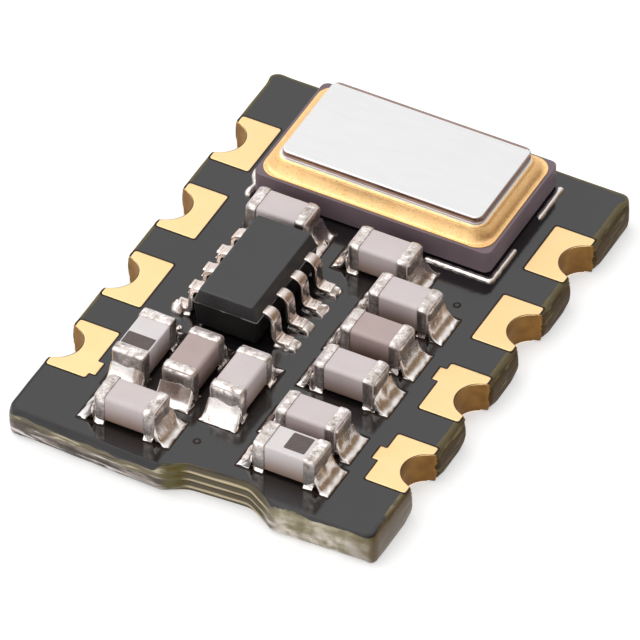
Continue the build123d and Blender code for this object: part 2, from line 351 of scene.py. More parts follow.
def finish(tree, inputs, *reliefs):
    """Close a material: its reliefs one on another, each (height, strength, depth in mm), under the
    values of its surface."""
    normal = {}
    for height, strength, depth in reliefs:
        relief = {"Height": height, "Strength": strength, "Distance": depth * MM, **normal}
        normal = {"Normal": add(tree, "Bump", relief)}
    add(tree, "OutputMaterial", {"Surface": add(tree, "BsdfPrincipled", {**inputs, **normal})})


snapped_laminate, tree = start_material("glass_epoxy_laminate_snapped")
# Broken laminate: tan above and pinkish grey below, with bright torn yarns along the plies. In the
# recess three ridges stand on brown resin, which is thick and olive at the left ramp, and their
# crests are coloured pale as painted highlights
edge_point = add(tree, "UVMap", uv_map="edge_map")
level = add(tree, "SeparateXYZ", {0: edge_point}, "Y")
across = add(tree, "SeparateXYZ", {0: place(tree)}, "X")
yarn = clouds(tree, edge_point, 0.12, 5.0, (9, 1, 1), Roughness=0.6, Distortion=0.6)
patch = clouds(tree, edge_point, 0.35, 4.0, (2.5, 1, 1))
soft_patch = clouds(tree, edge_point, 0.3, 5.0, (1.4, 1, 1))
grit = clouds(tree, edge_point, 0.05)
tan = add(tree, "Mix", {0: patch, 6: "4F4430", 7: "8C7F60"}, data_type="RGBA")
tan = layer(tree, tan, "D9CDB0", yarn, 0.54, 0.66)
grey = layer(tree, "453A31", "A0948C", patch, 0.4, 0.6)
grey = layer(tree, grey, "EDE3DF", yarn, 0.54, 0.66)
lift = add(tree, "Math", {0: patch, 1: 0.5, 2: level}, operation="MULTIPLY_ADD")
torn = layer(tree, grey, tan, lift, 0.55, 0.75)
torn = layer(tree, torn, "3B3226", yarn, 0.44, 0.34)
# The ridges are a sine wave of one ply pitch up the edge, and a painted highlight follows their crests
phase = add(tree, "Math", {0: level, 1: 2 * math.pi / ply_pitch, 2: 2 * math.pi * ply_phase},
            operation="MULTIPLY_ADD")
wave = add(tree, "Math", {0: phase}, operation="SINE")
crest_highlight = add(tree, "Math", {0: yarn, 1: 0.9, 2: wave}, operation="MULTIPLY_ADD")
resin_and_highlight = add(tree, "Mix", {0: patch, 6: "40351F", 7: "5E5032"}, data_type="RGBA")
# Painted highlight: pale tan on the crests of the ridges
resin_and_highlight = layer(tree, resin_and_highlight, "CDBC98", crest_highlight, 0.85, 1.45)
plies = layer(tree, torn, layer(tree, torn, resin_and_highlight, across, -0.5, -0.1), across, 2.1, 1.7)
plies = layer(tree, plies, layer(tree, plies, "5E521A", across, -0.75, -0.5), across, -0.05, -0.3)
# Right of the recess the edge is pale, palest near its foot, and brown at the corner
low_patch = add(tree, "Math", {0: level, 1: -0.4, 2: soft_patch}, operation="MULTIPLY_ADD")
low_patch = add(tree, "Math", {0: low_patch, 1: 0.25}, operation="ADD")
pale = layer(tree, "7E7450", "C6BBA2", soft_patch, 0.3, 0.7)
pale = layer(tree, pale, "F6EAE4", low_patch, 0.5, 0.85, 0.85)
pale = layer(tree, pale, "64552C", across, 3.5, 4.3, 0.6)
plies = layer(tree, plies, pale, across, 2.0, 2.3)
corner_brown = add(tree, "Mix", {0: patch, 6: "3A2910", 7: "6E562C"}, data_type="RGBA")
plies = layer(tree, plies, corner_brown, across, edge_x - 0.16, edge_x - 0.03)
# The mask runs down over the edge, less far from the recess on
lowest = add(tree, "MapRange", {"Value": across, "From Min": -0.9, "From Max": -0.6,
                                "To Min": board_top - 0.2, "To Max": board_top - 0.03},
             interpolation_type="SMOOTHSTEP")
above = add(tree, "Math", {0: level, 1: lowest}, operation="SUBTRACT")
uneven = add(tree, "Math", {0: patch, 1: 0.3, 2: above}, operation="MULTIPLY_ADD")
plies = layer(tree, plies, "1F1C1C", uneven, 0.14, 0.17)
finish(tree, {"Base Color": plies, "Roughness": 0.34}, (grit, 0.5, 0.01), (yarn, 0.5, 0.02))

routed_laminate, tree = start_material("glass_epoxy_laminate_routed")
# Routed laminate: dark olive brown and dull, with a soft mottle and a lighter rim under the mask
edge_point = add(tree, "UVMap", uv_map="edge_map")
level = add(tree, "SeparateXYZ", {0: edge_point}, "Y")
patch = clouds(tree, edge_point, 0.3, 4.0, (2, 1, 1))
yarn = clouds(tree, edge_point, 0.09, 4.0, (7, 1, 1), Distortion=0.4)
grit = clouds(tree, edge_point, 0.05)
plies = add(tree, "Mix", {0: patch, 6: "2E2110", 7: "5E4828"}, data_type="RGBA")
plies = layer(tree, plies, "9C8E60", yarn, 0.54, 0.7, 0.55)
rim = add(tree, "Math", {0: yarn, 1: 0.12, 2: level}, operation="MULTIPLY_ADD")
plies = layer(tree, plies, "726A50", rim, board_top - 0.06, board_top + 0.05, 0.8)
finish(tree, {"Base Color": plies, "Roughness": 0.5, "Specular IOR Level": 0.08}, (grit, 0.5, 0.012))

# Where the edge runs into a notch, a lip of radius notch_lip rounds it off
routed = notch_radius + plating
lip_x = edge_x - notch_lip
lip_y = math.sqrt((routed + notch_lip) ** 2 - (notch_x - lip_x) ** 2)
touch = routed / (routed + notch_lip)
lip_start = np.array([notch_x - (notch_x - lip_x) * touch, lip_y * touch])


def lip(side, y, above):
    """The rounded mouth of a notch as points that run from the notch to the straight edge."""
    mirror = np.array([side, above])
    middle_y = np.array([0, y])
    return middle_y + mirror * arc(np.array([lip_x, lip_y]), lip_start, (edge_x, lip_y), 6)


def front_line():
    """The front edge from the right corner to the left, with the recess of the snapped tab."""
    lip_line = board_low[1]
    return [(edge_x, lip_line + front_setback), (recess_right, lip_line),
            (recess_right - ramp_right, lip_line + recess_depth),
            (recess_left + ramp_left, lip_line + recess_depth - recess_slope),
            (recess_left, lip_line), (-edge_x, lip_line + front_setback)]


def outward(path):
    """Unit normals of a path that runs clockwise round the board, pointing away from the board."""
    way = np.gradient(path, axis=0)
    return unit(np.column_stack([-way[:, 1], way[:, 0]]))


def from_lips(path):
    """Distance along a path from each of its points to the nearer of the two lips."""
    along = run_length(path)
    return np.minimum(along, along[-1] - along)


def tearing(path, snapped):
    """How torn a path's points are as a column: wholly on the snapped stretch, but not at the corners."""
    return snapped * ease(edge_x - np.abs(path[:, :1]), torn_from, torn_to)


def rounding(path, torn):
    """How far in the mask's edge lies along a path, as a column: the top's fall, less at the lips, on
    the left, at the back and where it is torn."""
    share = lip_share + (1 - lip_share) * ease(from_lips(path), 0.0, lip_run)
    share = share * (1 - left_loss * ease(-path[:, 0], left_from, left_to))
    share = share * (1 - back_loss * ease(path[:, 1], back_from, back_to))
    return share[:, None] * (1 - torn_loss * torn) * top_fall


def foot_rounding(path, torn):
    """How far in the foot of the edge lies along a path, as a column."""
    share = 1 - (1 - foot_share) * ease(from_lips(path), 0.0, foot_run)[:, None]
    return share * (1 - torn_loss * torn) * foot_fall


def fall(height, top_reach, foot_reach):
    """How far the edge lies in at a height: a quarter ellipse at the top and one at the foot."""
    near_top = np.clip((height - edge_top) / top_drop + 1, 0, 1)
    near_foot = np.clip(1 - height / foot_rise, 0, 1)
    return top_reach * (1 - np.sqrt(1 - near_top ** 2)) + foot_reach * (1 - np.sqrt(1 - near_foot ** 2))


def edge_band(path, seed, snapped=False):
    """Closed band along a path in plan, with its maps. Its outer side falls away by quarter ellipses
    at the top and the foot. The snapped stretch falls less and has ridges of one ply pitch."""
    path = resample(path, edge_spacing)
    along = run_length(path)
    out = outward(path)
    torn = tearing(path, snapped)
    top_reach = rounding(path, torn)
    turn = np.linspace(0, math.pi, edge_rows)
    s, h = np.meshgrid(along, edge_top * (1 - np.cos(turn)) / 2, indexing="ij")
    field = np.stack([s + seed, h * 6], axis=-1)
    x = path[:, :1]
    inside = (ease(x, recess_left, recess_left + recess_run[0])
              * ease(-x, -recess_right, recess_run[1] - recess_right))
    bulge = belly + routed_belly * (1 - torn) + waviness * ripple(field, belly_wave, seed)
    bulge = bulge - fall(h, top_reach, foot_rounding(path, torn))
    shift = ply_phase + ply_waviness * ripple(field, ply_wave, seed + 2)
    wave = np.sin(2 * math.pi * (h / ply_pitch + shift))
    bulge = bulge + torn * ((ridge_height + recess_ridge_height * inside) * wave - recess_hollow * inside)
    fibres = ripple(np.stack([s, h * 5], axis=-1), fibre_wave, seed + 1)
    bulge = bulge + torn * fibre_height * (1 - inside) * fibres
    bulge = bulge - torn * break_slope * np.clip(edge_break - h, 0, None)
    ragged = ragged_lip * (1 + ripple(along[:, None], ragged_wave, seed + 3))[:, None]
    worn = top_reach + mask_thickness + ragged
    deep = path - out * skin_depth
    rows = np.concatenate([lifted(deep, skin_tuck)[:, None],
                           lifted(path[:, None] + out[:, None] * bulge[..., None], h),
                           lifted(path - out * worn, edge_top)[:, None],
                           lifted(deep, board_top - skin_tuck)[:, None]], axis=1)
    count, around = rows.shape[:2]
    edge_map = np.column_stack([np.repeat(along + seed, around), rows[:, :, 2].ravel()])
    return rows.reshape(-1, 3), tube_faces(count, around), edge_map


def edge_piece(name, bands, material):
    """One piece of the board's edge from its bands, with their maps."""
    make_piece(name, [band[:2] for band in bands], material,
               edge_map=np.concatenate([band[2] for band in bands]))


def softened(path, reach):
    """A path whose bends between the two corners are spread over the reach to both sides."""
    path = resample(path, edge_spacing)
    span = round(reach / edge_spacing)
    share = np.hanning(2 * span + 3)[1:-1, None]
    padded = np.pad(path, ((span, span), (0, 0)), mode="edge")
    spread = sum(part * padded[k:k + len(path)] for k, part in enumerate(share)) / share.sum()
    return path + ease(edge_x - np.abs(path[:, :1]), softened_from, softened_to) * (spread - path)


# The stretches run clockwise: the back, three on the right, the front, and three on the left
front = rounded([(edge_x, 0)] + front_line() + [(-edge_x, 0)],
                [0, corner_round] + [recess_round] * 4 + [corner_round, 0])
back_y = board_high[1]
back = rounded([(-edge_x, 0), (-edge_x, back_y), (edge_x, back_y), (edge_x, 0)],
               [0, corner_round, corner_round, 0])
stretches = [np.vstack([lip(-1, terminal_ys[-1], 1), back[1:-1], lip(1, terminal_ys[-1], 1)[::-1]])]
for low_y, high_y in zip(terminal_ys[-2::-1], terminal_ys[:0:-1]):
    stretches.append(np.vstack([lip(1, high_y, -1), lip(1, low_y, 1)[::-1]]))
snapped_stretch = len(stretches)
stretches.append(softened(np.vstack([lip(1, terminal_ys[0], -1), front[1:-1],
                                     lip(-1, terminal_ys[0], -1)[::-1]]), ramp_softening))
for low_y, high_y in zip(terminal_ys, terminal_ys[1:]):
    stretches.append(np.vstack([lip(-1, low_y, 1), lip(-1, high_y, -1)[::-1]]))
edge_piece("board_snapped_edge", [edge_band(stretches[snapped_stretch], 3, True)], snapped_laminate)
edge_piece("board_routed_edges", [edge_band(path, 11 + 6 * k) for k, path in enumerate(stretches)
                                  if k != snapped_stretch], routed_laminate)

# Masked plate. The laminate inside its edges, under a black solder mask that is
# screened on both faces. Its outline is each stretch drawn in to where the edge
# has risen to the top, joined round the notches.
plate_gap = 0.02
mask_sink = 0.006
mask, tree = start_material("solder_mask_black")
# Printed epoxy film: black, and grey only by the sheen of its smooth wet-looking top
point = place(tree)
cloud = clouds(tree, point, 2.2)
speck = clouds(tree, point, 0.09, 2.0)
film = add(tree, "Mix", {0: cloud, 6: "141213", 7: "1B1819"}, data_type="RGBA")
gloss = add(tree, "MapRange", {"Value": cloud, "To Min": 0.08, "To Max": 0.15})
finish(tree, {"Base Color": film, "Roughness": gloss, "IOR": 1.72}, (speck, 0.25, 0.003))

plan = []
for k, path in enumerate(stretches):
    path = resample(path, edge_spacing)
    torn = tearing(path, k == snapped_stretch)
    plan.append(path - outward(path) * (rounding(path, torn) + plate_gap))
    end, start = path[-1], stretches[(k + 1) % len(stretches)][0]
    centre = np.array([math.copysign(notch_x, end[0]), (end[1] + start[1]) / 2])
    deepest = centre - np.array([math.copysign(routed, end[0]), 0.0])
    plan.append(np.vstack([arc(centre, end, deepest, 12), arc(centre, deepest, start, 12)[1:]])[1:-1])
plan = np.concatenate(plan)[::-1]
plate = np.vstack([lifted(plan, height) for height in (mask_sink, board_top - mask_sink)])
make_piece("board_masked_plate", [(plate, tube_faces(2, len(plan)))], mask, ["board"])

# Edge terminals. Copper lands on both faces joined by half of a plated through
# hole, all finished in immersion gold. The router has cut the hole open, so the
# half-round wall is dull and scratched, with burrs where it ends.
land_length, land_width = 1.03, 1.64
land_inset = 0.06
land_corner = 0.07
horn_corner = 0.05
stub_length, stub_width, stub_corner = 0.16, 0.44, 0.03
land_rim = 0.012
land_round = 0.022
foot_gap = 0.04
sliver = 0.001
barrel_lip = math.radians(35)
lip_plating = 0.014
lip_proud = 0.01
lip_steps, wall_steps, barrel_rows = 9, 41, 9
burr_count, burr_low, burr_high = 5, 0.2, 0.75
burr_size = (0.02, 0.02, 0.045)
trace_stubs = {("right", 0): 0.07, ("right", 1): 0.38, ("left", 0): -0.43}

land_gold, tree = start_material("immersion_gold_land")
# Thin gold over nickel on etched copper: satin, a little paler and darker in soft clouds
point = place(tree)
cloud = clouds(tree, point, 0.9)
grain = clouds(tree, point, 0.035, 2.0)
tone = add(tree, "Mix", {0: cloud, 6: "F3CE94", 7: "FADAA6"}, data_type="RGBA")
gloss = add(tree, "MapRange", {"Value": grain, "To Min": 0.34, "To Max": 0.5})
finish(tree, {"Base Color": tone, "Metallic": 1.0, "Roughness": gloss}, (grain, 0.3, 0.004))

barrel_gold, tree = start_material("gold_plated_barrel_cut_open")
# Plated hole wall: brown gold, darker than the lands, with upright drill marks and darker patches
point = place(tree)
marks = clouds(tree, point, 0.06, 4.0, (1, 1, 5))
patch = clouds(tree, point, 0.3)
tone = add(tree, "Mix", {0: patch, 6: "6B4820", 7: "A67A3C"}, data_type="RGBA")
finish(tree, {"Base Color": tone, "Metallic": 0.75, "Roughness": 0.5}, (marks, 0.5, 0.01))


def stack(outline, rings):
    """Closed solid from one outline in plan, repeated at the heights of the rings. Each ring is the
    outline moved inwards by its inset along the mitre of the two sides that meet at each point."""
    sides = unit(np.roll(outline, -1, 0) - outline)
    out = np.column_stack([sides[:, 1], -sides[:, 0]])
    before = np.roll(out, 1, 0)
    mitre = (out + before) / (1 + (out * before).sum(1, keepdims=True))
    points = np.concatenate([lifted(outline - inset * mitre, height) for height, inset in rings])
    return points, tube_faces(len(rings), len(outline))


def worn_edge(low, high, radius, steps=4):
    """Rings of a plate whose top edge is rounded by a quarter circle, with a level ring inside it."""
    turn = np.linspace(0, math.pi / 2, steps + 1)
    rings = [(low, 0.0)] + list(zip(high - radius + radius * np.sin(turn), radius - radius * np.cos(turn)))
    return rings + [(high, 1.5 * radius)]


def land_outline(side, row, face):
    """Plan of a land on the right edge, centred on its row: a rectangle with the notch cut out,
    and a short stub towards the middle of the board where a trace leaves it."""
    right = edge_x - land_inset
    left = right - land_length
    half_width = land_width / 2
    mouth = math.sqrt(notch_radius ** 2 - (notch_x - right) ** 2) + horn_corner / 2
    corners = [(right, mouth), (right, half_width), (left, half_width), (left, -half_width),
               (right, -half_width), (right, -mouth)]
    radii = [horn_corner, land_corner, land_corner, land_corner, land_corner, horn_corner]
    if face == "top" and (side, row) in trace_stubs:
        behind = trace_stubs[side, row] * (1 if side == "right" else -1)
        limit = half_width - 2 * land_corner
        stub_high, stub_low = min(behind + stub_width / 2, limit), max(behind - stub_width / 2, -limit)
        corners[3:3] = [(left, stub_high), (left - stub_length, stub_high),
                        (left - stub_length, stub_low), (left, stub_low)]
        radii[3:3] = [stub_corner] * 4
    start = math.asin((mouth - horn_corner * 1.6) / notch_radius)
    turn = np.linspace(math.pi + start, math.pi - start, 31)
    bite = np.column_stack([notch_x + notch_radius * np.cos(turn), notch_radius * np.sin(turn)])
    return rounded(corners + bite.tolist(), radii + [0] * len(bite), 5)


def drawn_in(outline, inset):
    """A land without the rim that lies in the shadow of the mask opening, apart from its notch."""
    low, high = outline.min(0), outline.max(0)
    middle = (low + high) / 2
    return middle + (outline - middle) * (1 - 2 * inset / (high - low))


def barrel():
    """Half-round wall on the right edge, carried a little way round both lips and closed all round.
    Each point of its path moves back by the thickness of the plating, which thins out on the lips."""
    mirror = np.array([1, -1])
    lip_centre = np.array([lip_x, lip_y])
    inward = math.atan2(-lip_y, notch_x - lip_x)
    lip_turn = np.linspace(inward + barrel_lip, inward, lip_steps)[:-1]
    lip_way = np.column_stack([np.cos(lip_turn), np.sin(lip_turn)])
    thin = np.linspace(lip_plating, plating, lip_steps)[:-1, None]
    turn = np.linspace(math.pi + inward, math.pi - inward, wall_steps)
    hole_way = -np.column_stack([np.cos(turn), np.sin(turn)])
    lip_wall = lip_centre + lip_way * (notch_lip + thin)
    wall = np.vstack([lip_wall, np.array([notch_x, 0]) - hole_way * notch_radius, (mirror * lip_wall)[::-1]])
    facing = np.vstack([lip_way, hole_way, (mirror * lip_way)[::-1]])
    backing = np.vstack([thin, np.full((wall_steps, 1), plating), thin[::-1]])
    up = np.linspace(land_round, board_top - land_round, barrel_rows)
    heights = np.concatenate([up, up[::-1]])
    back = np.repeat([0.0, 1.0], barrel_rows)[None, :, None]
    away = np.linspace(0, 1, lip_steps)[1:]
    far = np.concatenate([away[::-1], np.zeros(wall_steps), away])[:, None] ** 2
    sink = far * (fall(heights, lip_share * top_fall, foot_fall) - lip_proud)
    plan = wall[:, None] - facing[:, None] * (backing[:, None] * back + sink[..., None])
    points = lifted(plan, heights + far * (0.1 - 0.16 * heights / board_top))
    return points.reshape(-1, 3), flipped(tube_faces(len(wall), 2 * barrel_rows))


def pebble(middle, size):
    """Small ellipsoid with half axes of the given size."""
    ball = np.linspace(-1, 1, 7)[1:-1, None]
    turn = np.linspace(0, 2 * math.pi, 9)[:-1]
    wide = np.sqrt(1 - ball ** 2)
    points = np.stack([wide * np.cos(turn), wide * np.sin(turn), ball + 0 * turn], axis=-1).reshape(-1, 3)
    return middle + points * size, tube_faces(len(ball), len(turn))


def burrs(seed):
    """Bright slivers that the router left standing on both lips of a notch."""
    draw = np.random.default_rng(seed)
    shells = []
    for way in (-1, 1):
        for height in draw.uniform(burr_low, burr_high, burr_count):
            middle = np.array([lip_x + notch_lip * 0.66, way * (lip_y - notch_lip * 0.93), height])
            shells.append(pebble(middle, draw.uniform(0.5, 1, 3) * burr_size))
    return shells


def turned(shell, side, y):
    """A shell on the right edge moved to its row, or turned half round to the left edge."""
    way = 1 if side == "right" else -1
    return shell[0] * (way, way, 1) + (0, y, 0), shell[1]


def face_values(piece, name):
    """The centres or the normals of a piece's faces, as one array."""
    values = np.empty(3 * len(piece.data.polygons), np.float32)
    piece.data.polygons.foreach_get(name, values)
    return values.reshape(-1, 3)


sides_and_rows = [(side, row) for side in ("right", "left") for row in range(4)]
for k, (name, (side, row)) in enumerate(zip(terminal_names, sides_and_rows)):
    top = stack(drawn_in(land_outline(side, row, "top"), land_rim),
                worn_edge(board_top - plating, board_top, land_round))
    below = land_outline(side, row, "bottom")
    below[:, 0] = np.minimum(below[:, 0], edge_x - foot_fall - foot_gap)
    under = stack(below, [(0.0, 0.0), (plating, 0.0)])
    shells = [top, under, barrel()] + burrs(k)
    piece = make_piece(name + "_gold", [turned(shell, side, terminal_ys[row]) for shell in shells],
                       land_gold, [name])
    piece.data.materials.append(barrel_gold)
    height = face_values(piece, "center")[:, 2] / MM
    inside = (height > sliver) & (height < board_top - plating - sliver)
    piece.data.polygons.foreach_set("material_index", inside.astype(np.int32))

# Resonator package. A dark ceramic tub with a gold rim, a gold-plated seal ring
# brazed on it, and a bright stepped lid that is seam-welded to the ring. All of
# them are rounded rectangles, one on another, with their edges broken.
base_corner, base_foot, base_edge = 0.18, 0.02, 0.008
rim_corner, rim_edge = 0.42, 0.012
overlap = 0.01
ring_corner, ring_round = 0.34, 0.025
braze_reach = 0.22
lid_step_corner = 0.2
lid_flange, lid_rim = 0.05, 0.125
weld_width, weld_drop = 0.1, 0.045
step_round = 0.04
far_bevel = 0.085

ceramic, tree = start_material("co_fired_alumina_dark")
# Dark fired ceramic: purple brown, satin, with a fine grain and faint sheen
point = place(tree)
cloud = clouds(tree, point, 0.8, 4.0)
grain = clouds(tree, point, 0.03)
tone = add(tree, "Mix", {0: cloud, 6: "6E5E66", 7: "83737B"}, data_type="RGBA")
finish(tree, {"Base Color": tone, "Roughness": 0.52, "Specular IOR Level": 0.45}, (grain, 0.5, 0.006))

ring_gold, tree = start_material("gold_plated_iron_nickel")
# Electroplated gold over braze: warm and satin, soft in its mottle, with orange specks in the grain
point = place(tree)
cloud = clouds(tree, point, 0.35, 4.0)
grain = clouds(tree, point, 0.05)
tone = add(tree, "Mix", {0: cloud, 6: "F2C080", 7: "FDDAA2"}, data_type="RGBA")
tone = layer(tree, tone, "C98A44", grain, 0.56, 0.68, 0.45)
finish(tree, {"Base Color": tone, "Metallic": 1.0, "Roughness": 0.45}, (grain, 0.5, 0.014))

lid_metal, tree = start_material("nickel_plated_lid")
# Rolled and plated lid: pale satin metal with the lines of the rolling along its length
lines = clouds(tree, place(tree), 0.03, 2.0, (25, 1, 1))
tone = add(tree, "Mix", {0: lines, 6: "DFDFDF", 7: "E6E6E6"}, data_type="RGBA")
gloss = add(tree, "MapRange", {"Value": lines, "To Min": 0.26, "To Max": 0.4})
finish(tree, {"Base Color": tone, "Metallic": 1.0, "Roughness": gloss})

lid_wall_shade, tree = start_material("lid_wall_painted_dark_reflection")
# The wall of the lid and its far bevel: a darker pinkish bronze with darker clouds, as painted dark
# reflection
cloud = clouds(tree, place(tree), 0.3)
tone = add(tree, "Mix", {0: cloud, 6: "8C7470", 7: "B49C94"}, data_type="RGBA")
finish(tree, {"Base Color": tone, "Metallic": 1.0, "Roughness": 0.25})

quartz, tree = start_material("lapped_quartz")
# Lapped crystal inside the tub: cool clear grey with a fine matt grain
grain = clouds(tree, place(tree), 0.04, 2.0)
tone = add(tree, "Mix", {0: grain, 6: "B9C4C9", 7: "DCE4E6"}, data_type="RGBA")
finish(tree, {"Base Color": tone, "Roughness": 0.3, "IOR": 1.54})


def rectangle(low, high, radius, steps=8):
    """Rounded rectangle in plan between two corners."""
    corners = [(low[0], low[1]), (high[0], low[1]), (high[0], high[1]), (low[0], high[1])]
    return rounded(corners, radius, steps)


tub_low, tub_high = box_mm("resonator_base")
foot = [(tub_low[2], base_foot), (tub_low[2] + base_foot, 0.0)]
wall = worn_edge(tub_low[2] + base_foot + overlap, tub_high[2], base_edge)
make_piece("resonator_tub", [stack(rectangle(tub_low, tub_high, base_corner), foot + wall)],
           ceramic, ["resonator_base"])
rim_low, rim_high = box_mm("resonator_rim_plating")
make_piece("resonator_gold_rim", [stack(rectangle(rim_low, rim_high, rim_corner),
                                        worn_edge(rim_low[2] - overlap, rim_high[2], rim_edge))],
           ring_gold, ["resonator_rim_plating"])

# The braze climbs the ring in a hollow curve: a power of the share of the way left to its outer end
ring_low, ring_high = box_mm("resonator_seal_ring")
climb = ring_high[2] - ring_round - rim_high[2]
braze = [(rim_high[2] + climb * (1 - t) ** 2.2, -braze_reach * t) for t in np.linspace(1, 0, 15)[1:]]
braze.insert(0, (rim_high[2] - overlap, -braze_reach))
ring_edge = worn_edge(ring_high[2] - ring_round, ring_high[2], ring_round)[1:]
make_piece("resonator_gold_ring", [stack(rectangle(ring_low, ring_high, ring_corner), braze + ring_edge)],
           ring_gold, ["resonator_seal_ring"])

# The lid: a flange rolled down by the weld wheels, and a plateau whose far edge is bevelled
lid_low, lid_high = box_mm("resonator_lid")
turn = np.linspace(0, math.pi / 2, 9)
flange_top = lid_low[2] + lid_flange
weld = list(zip(flange_top - weld_drop * (1 - np.sin(turn)), weld_width * (1 - np.cos(turn))))
flange = stack(rectangle(lid_low, lid_high, ring_corner),
               [(lid_low[2], overlap)] + weld + [(flange_top, 2 * weld_width)])
step_low, step_high = lid_low + lid_rim, lid_high - lid_rim
# Beyond this line the far bevel takes the painted dark reflection
dark_from = step_high[1]
step_high[1] += far_bevel
fillet = [(flange_top - overlap, -0.012), (flange_top + 0.015, -0.004), (flange_top + 0.03, 0.0)]
plateau = stack(rectangle(step_low, step_high, lid_step_corner),
                fillet + worn_edge(flange_top + 0.04, lid_high[2], step_round, 8)
                + [(lid_high[2], far_bevel + overlap)])
lid = make_piece("resonator_stepped_lid", [flange, plateau], lid_metal, ["resonator_lid"])
lid.data.materials.append(lid_wall_shade)
lid.data.materials.append(ring_gold)
middle, normal = face_values(lid, "center") / MM, face_values(lid, "normal")
leaning = normal[:, 2] < 0.75
# Painted dark reflection: the leaning wall of the plateau and its far bevel take the darker wall metal
dark_wall_faces = (middle[:, 2] > flange_top + 3 * sliver) & (leaning | (middle[:, 1] > dark_from))
welded = middle[:, 2] < flange_top - 3 * sliver
lid.data.polygons.foreach_set("material_index", dark_wall_faces.astype(np.int32) + 2 * welded.astype(np.int32))

# The plate in the tub's cavity stays the solid that it is, and only gets its finish
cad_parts["resonator_plate"].data.materials.clear()
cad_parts["resonator_plate"].data.materials.append(quartz)

# Solder joints. Each is a drop of tin alloy that wets its pad to the edge and
# climbs the metal beside it in a hollow curve. They were made in a reflow oven,
# so they are bright, lumpy and each a little different.
joint_rows, joint_columns = 41, 45
seam_width, seam_rise = 0.085, 0.065
seam_corner, seam_sink = 0.07, 0.008
seam_spacing = 0.012
pad_reach = 0.13
climb_from, climb_to = -0.06, 0.02
joint_sink = 0.01

solder, tree = start_material("reflowed_tin_solder")
# Tin-silver alloy: bright white metal with frosty grain and shallow dimples
point = place(tree)
dimple = clouds(tree, point, 0.16, 4.0)
frost = clouds(tree, point, 0.03, 2.0)
tone = add(tree, "Mix", {0: dimple, 6: "D8CEC8", 7: "FCF8F6"}, data_type="RGBA")
gloss = add(tree, "MapRange", {"Value": frost, "To Min": 0.12, "To Max": 0.36})
finish(tree, {"Base Color": tone, "Metallic": 1.0, "Roughness": gloss}, (dimple, 0.5, 0.012))


def joint(wall, out, half_width, rise, reach, side, under, seed, film=0.03, hollow=2.6):
    """Solder joint at the foot of a wall. In front of the wall, the height over the pad is the rise
    times a power, hollow, of the share of the way left to the pad's edge, plus a film that rounds
    off to nothing there. Beyond the width of the wall it rounds down to the pad, and beside the
    wall it climbs a quarter as high. wall is the middle of the wall's foot and out the direction
    away from it. reach, side and under are how far the pad runs ahead, beside and below."""
    rows, columns = joint_rows, joint_columns
    s = np.sin(np.linspace(-math.pi / 2, math.pi / 2, rows))[:, None] * np.ones((1, columns))
    t = np.sin(np.linspace(-math.pi / 2, math.pi / 2, columns))[None] * np.ones((rows, 1))
    u = (reach + under) / 2 * (s + 1) - under
    v = (half_width + side) * t
    field = np.stack([u + 3 * seed, v], axis=-1)
    edge = np.maximum(np.abs(s), np.abs(t)) ** 6
    u = u + edge * reach * 0.05 * ripple(field, 0.25, seed) * (s > 0)
    v = v + edge * side * 0.5 * ripple(field, 0.25, seed + 1)
    beyond = np.clip((np.abs(v) - half_width + 0.03) / (side + 0.03), 0, 1)
    way = np.stack([v * 2, u * 0.5 + 5 * seed], axis=-1)
    height = rise * (1 + 0.15 * ripple(way, 1.3, seed + 3))
    front = height * np.clip(1 - u / reach, 0, 1) ** (hollow * (1 + 0.25 * ripple(way, 1.1, seed + 4)))
    front = front * np.sqrt(1 - beyond ** 2)
    beside = 0.25 * rise * (1 - beyond) ** 2
    ahead = ease(u, climb_from, climb_to)
    lump = 0.5 + 0.5 * ripple(field, 0.22, seed + 2)
    corner = np.clip(s, 0, 1) ** 2 * t ** 2
    cover = film * (1 - np.abs(s) ** 12) * (1 - t ** 12) * (0.6 + 0.4 * lump + 2.5 * corner * lump)
    out = np.array(out, float)
    across = np.array([-out[1], out[0]])
    plan = np.array(wall[:2]) + u[..., None] * out + v[..., None] * across
    points = lifted(plan, board_top + ahead * front + (1 - ahead) * beside + cover).reshape(-1, 3)
    index = np.arange(rows * columns).reshape(rows, columns)
    border = np.concatenate([index[:-1, 0], index[-1, :-1], index[:0:-1, -1], index[0, :0:-1]])
    foot = points[border] - (0, 0, joint_sink)
    foot_index = rows * columns + np.arange(len(border))
    skirt = np.stack([border, foot_index, np.roll(foot_index, -1), np.roll(border, -1)], axis=-1)
    return np.vstack([points, foot]), flipped([grid_faces(rows, columns), skirt]) + [foot_index[None]]


def bent(corners, radii, spacing):
    """Open path through corners, each rounded by its radius."""
    return resample(rounded(corners, [0, *radii, 0], 8), spacing)


def seam(corners, seed, half_width=seam_width, rise=seam_rise):
    """Narrow bead of solder along a line in plan: half an ellipse in section, with round ends."""
    path = bent(corners, [seam_corner] * (len(corners) - 2), seam_spacing)
    share = np.clip(from_lips(path) / half_width, 0.03, 1)
    uneven = 1 + 0.12 * ripple(run_length(path)[:, None], 0.4, seed)
    width = half_width * np.sqrt(1 - (1 - share) ** 2) * uneven
    turn = np.linspace(0, math.pi, 11)
    plan = path[:, None] + outward(path)[:, None] * (width[:, None] * np.cos(turn))[..., None]
    height = board_top - seam_sink + (rise * width / half_width)[:, None] * np.sin(turn)
    return lifted(plan, height).reshape(-1, 3), tube_faces(len(path), len(turn))


